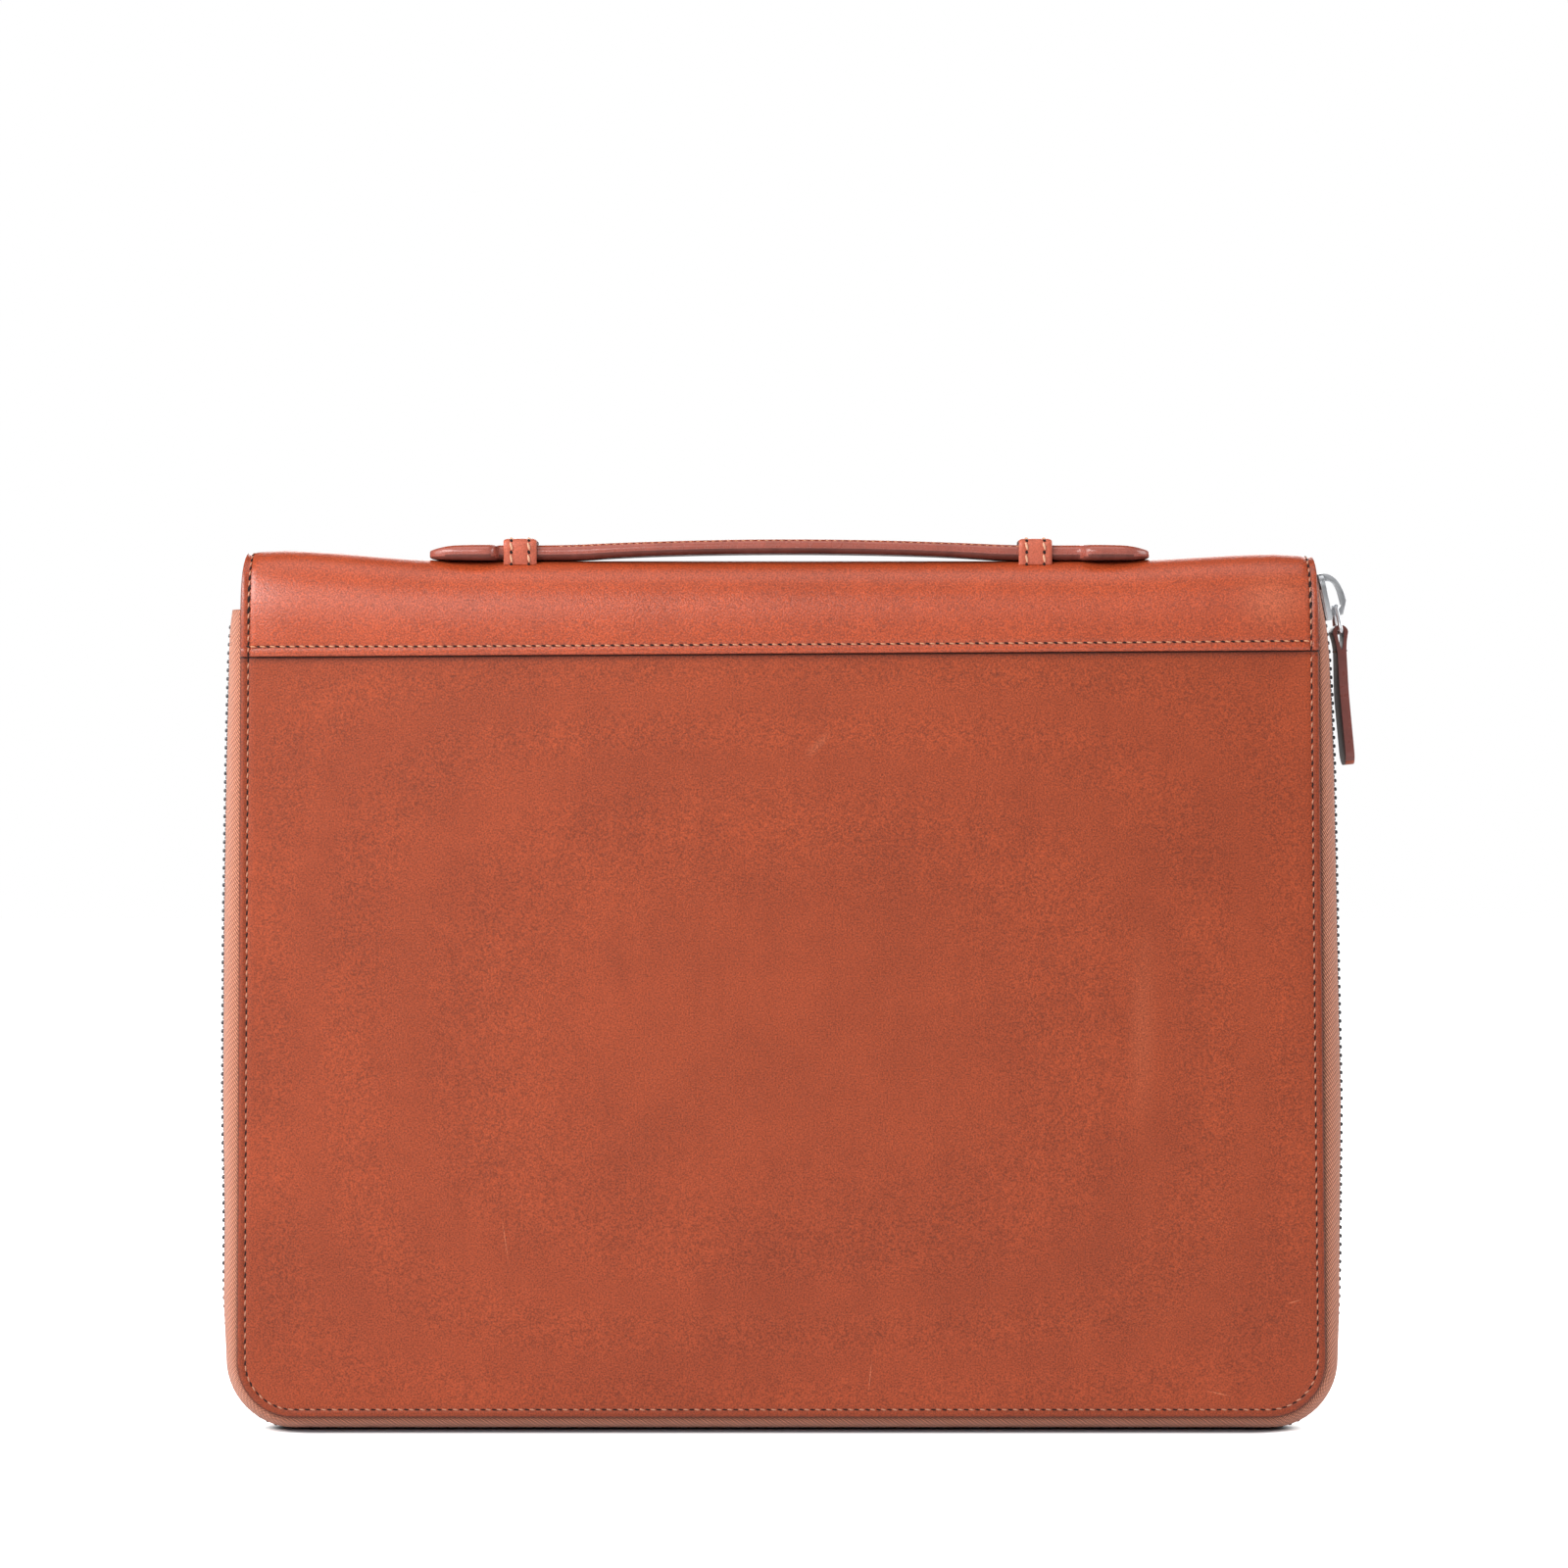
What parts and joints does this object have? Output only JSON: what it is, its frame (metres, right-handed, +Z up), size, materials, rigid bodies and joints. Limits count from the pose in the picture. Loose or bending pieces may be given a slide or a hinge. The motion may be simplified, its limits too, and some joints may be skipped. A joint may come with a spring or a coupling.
{
  "type": "zip-around portfolio",
  "caption": "Flat leather document case closed by a zip round its sides and base, with a lapped spine and a flat carrying handle held in leather keepers, standing upright.",
  "frame": {"origin": "on the floor under the middle of the closed zip that the case stands on", "axes": "+X along the spine towards the zip slider, +Y from the front cover to the back cover, +Z up"},
  "size_m": [0.3439, 0.0298, 0.2691],
  "materials": {
    "leather": "smooth pull-up leather, satin",
    "handle_leather": "smooth leather with painted edges",
    "zip_tape": "twill tape, matt",
    "zip_teeth": "dark metal with worn bright tips",
    "nickel": "bright nickel plate"
  },
  "bodies": {
    "case": {"front_cover": "leather", "back_cover": "leather", "spine_band": "leather", "zip_tape_front_left": "zip_tape", "zip_tape_front_left_corner": "zip_tape", "zip_tape_front_floor": "zip_tape", "zip_tape_front_right_corner": "zip_tape", "zip_tape_front_right": "zip_tape", "zip_tape_back_left": "zip_tape", "zip_tape_back_left_corner": "zip_tape", "zip_tape_back_floor": "zip_tape", "zip_tape_back_right_corner": "zip_tape", "zip_tape_back_right": "zip_tape", "zip_chain": "zip_teeth", "zip_slider": "nickel", "handle_strap": "handle_leather", "keeper_left": "leather", "keeper_right": "leather"},
    "pull": {"pull_link": "nickel", "pull_tab": "handle_leather"}
  },
  "joints": [
    {"name": "pull_swing", "type": "hinge", "parent": "case", "child": "pull", "pos_m": [0.1676, 0, 0.249], "axis": [0.0698, -0.9976, 0], "range_deg": [0, 110]}
  ]
}
